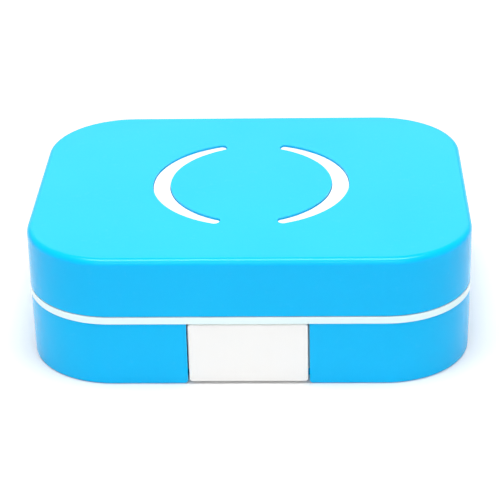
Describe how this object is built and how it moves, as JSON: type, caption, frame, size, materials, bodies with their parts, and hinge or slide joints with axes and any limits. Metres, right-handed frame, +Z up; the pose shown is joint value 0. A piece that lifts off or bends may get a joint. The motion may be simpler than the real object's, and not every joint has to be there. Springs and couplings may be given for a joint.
{
  "type": "contact lens case",
  "caption": "Pocket contact lens case: a hinged rounded box with a push button, mirror lid, tray, screw-cap lens wells, tweezers and applicator.",
  "frame": {"origin": "middle of the flat underside of the base, on the resting plane", "axes": "+Z up, +X along the long side, -Y towards the push button, +Y towards the hinge"},
  "size_m": [0.0702, 0.0574, 0.0217],
  "materials": {
    "blue_plastic": "glossy moulded plastic, cyan blue",
    "white_plastic": "glossy moulded plastic, white",
    "frosted_plastic": "frosted translucent moulded plastic",
    "silicone": "soft milky silicone",
    "steel": "drawn steel wire",
    "mirror_glass": "silvered glass",
    "foam_tape": "thin foam tape"
  },
  "bodies": {
    "base": {"base_shell": "blue_plastic", "inner_tray": "white_plastic", "hinge_pin": "steel", "latch_spring": "steel"},
    "lid": {"lid_shell": "blue_plastic", "lid_liner": "white_plastic", "mirror_tape": "foam_tape", "mirror": "mirror_glass", "lid_inlay_left": "white_plastic", "lid_inlay_right": "white_plastic"},
    "latch": {"latch_button": "white_plastic"},
    "lens_holder": {"lens_holder": "frosted_plastic"},
    "left_seal": {"left_cap_seal": "silicone"},
    "left_cap": {"left_cap": "blue_plastic"},
    "right_seal": {"right_cap_seal": "silicone"},
    "right_cap": {"right_cap": "white_plastic"},
    "tweezers": {"tweezers_body": "frosted_plastic", "tweezers_tip_front": "silicone", "tweezers_tip_back": "silicone"},
    "applicator": {"applicator_rod": "frosted_plastic", "applicator_cup": "silicone"}
  },
  "joints": [
    {"name": "lid_hinge", "type": "hinge", "parent": "base", "child": "lid", "pos_m": [0, 0.02815, 0.0113], "axis": [-1, 0, 0], "range_deg": [0, 115]},
    {"name": "latch_press", "type": "slide", "parent": "base", "child": "latch", "axis": [0, 1, 0], "range_m": [0, 0.001], "stiffness_N_per_m": 1200, "springref_m": -0.0005, "deforming": ["latch_spring"]},
    {"name": "holder_lift", "type": "slide", "parent": "base", "child": "lens_holder", "axis": [0, 0, 1], "range_m": [0, 0.0012]},
    {"name": "left_cap_lift", "type": "slide", "parent": "lens_holder", "child": "left_seal", "axis": [0, 0, 1], "range_m": [0, 0.00221]},
    {"name": "left_cap_turn", "type": "hinge", "parent": "left_seal", "child": "left_cap", "pos_m": [-0.0145, 0.0113, 0.01], "axis": [0, 0, 1], "range_deg": [0, 360]},
    {"name": "right_cap_lift", "type": "slide", "parent": "lens_holder", "child": "right_seal", "axis": [0, 0, 1], "range_m": [0, 0.00221]},
    {"name": "right_cap_turn", "type": "hinge", "parent": "right_seal", "child": "right_cap", "pos_m": [0.0145, 0.0113, 0.01], "axis": [0, 0, 1], "range_deg": [0, 360]},
    {"name": "tweezers_lift", "type": "slide", "parent": "base", "child": "tweezers", "axis": [0, 0, 1], "range_m": [0, 0.004]},
    {"name": "applicator_lift", "type": "slide", "parent": "base", "child": "applicator", "axis": [0, 0, 1], "range_m": [0, 0.004]}
  ],
  "couplings": [
    {"joint": "left_cap_lift", "follows": "left_cap_turn", "m_per_rad": 0.00035014},
    {"joint": "right_cap_lift", "follows": "right_cap_turn", "m_per_rad": 0.00035014}
  ]
}
